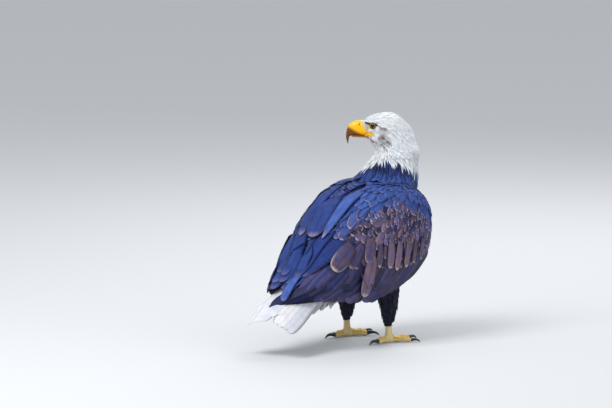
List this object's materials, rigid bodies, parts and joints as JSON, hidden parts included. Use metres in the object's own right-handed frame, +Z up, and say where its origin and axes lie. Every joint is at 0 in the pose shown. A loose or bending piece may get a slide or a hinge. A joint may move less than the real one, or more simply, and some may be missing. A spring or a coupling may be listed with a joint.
{
  "type": "bald eagle model",
  "caption": "Life-size still model of a standing bald eagle, wings folded, head turned back over its left shoulder.",
  "frame": {"origin": "on the floor, at the centre of the model's box seen from above", "axes": "+Z up; the body faces -Y and its left side is +X; the head is turned 135 degrees to the bird's left"},
  "size_m": [0.2916, 0.5808, 0.611],
  "materials": {
    "white_plumage": "soft white feathers",
    "body_plumage": "dark blue-brown feathers",
    "covert_plumage": "brown feathers with pale edges",
    "flight_plumage": "smooth dark flight feathers",
    "foot_skin": "scaly yellow skin",
    "claw_horn": "polished black horn",
    "bill_horn": "smooth yellow horn",
    "eye": "wet, clear"
  },
  "bodies": {
    "root": {"head": "white_plumage", "neck": "white_plumage", "trunk": "body_plumage", "tail_coverts": "white_plumage", "tail": "white_plumage", "wing_left_coverts": "covert_plumage", "wing_left_secondaries": "flight_plumage", "wing_left_primaries": "flight_plumage", "wing_right_coverts": "covert_plumage", "wing_right_secondaries": "flight_plumage", "wing_right_primaries": "flight_plumage", "leg_left_feathered": "body_plumage", "leg_right_feathered": "body_plumage", "foot_left": "foot_skin", "foot_right": "foot_skin", "claw_left_middle": "claw_horn", "claw_left_inner": "claw_horn", "claw_left_outer": "claw_horn", "claw_left_hind": "claw_horn", "claw_right_middle": "claw_horn", "claw_right_inner": "claw_horn", "claw_right_outer": "claw_horn", "claw_right_hind": "claw_horn", "cere": "bill_horn", "bill_upper": "bill_horn", "bill_lower": "bill_horn", "eye_left": "eye", "eye_right": "eye"}
  },
  "joints": []
}
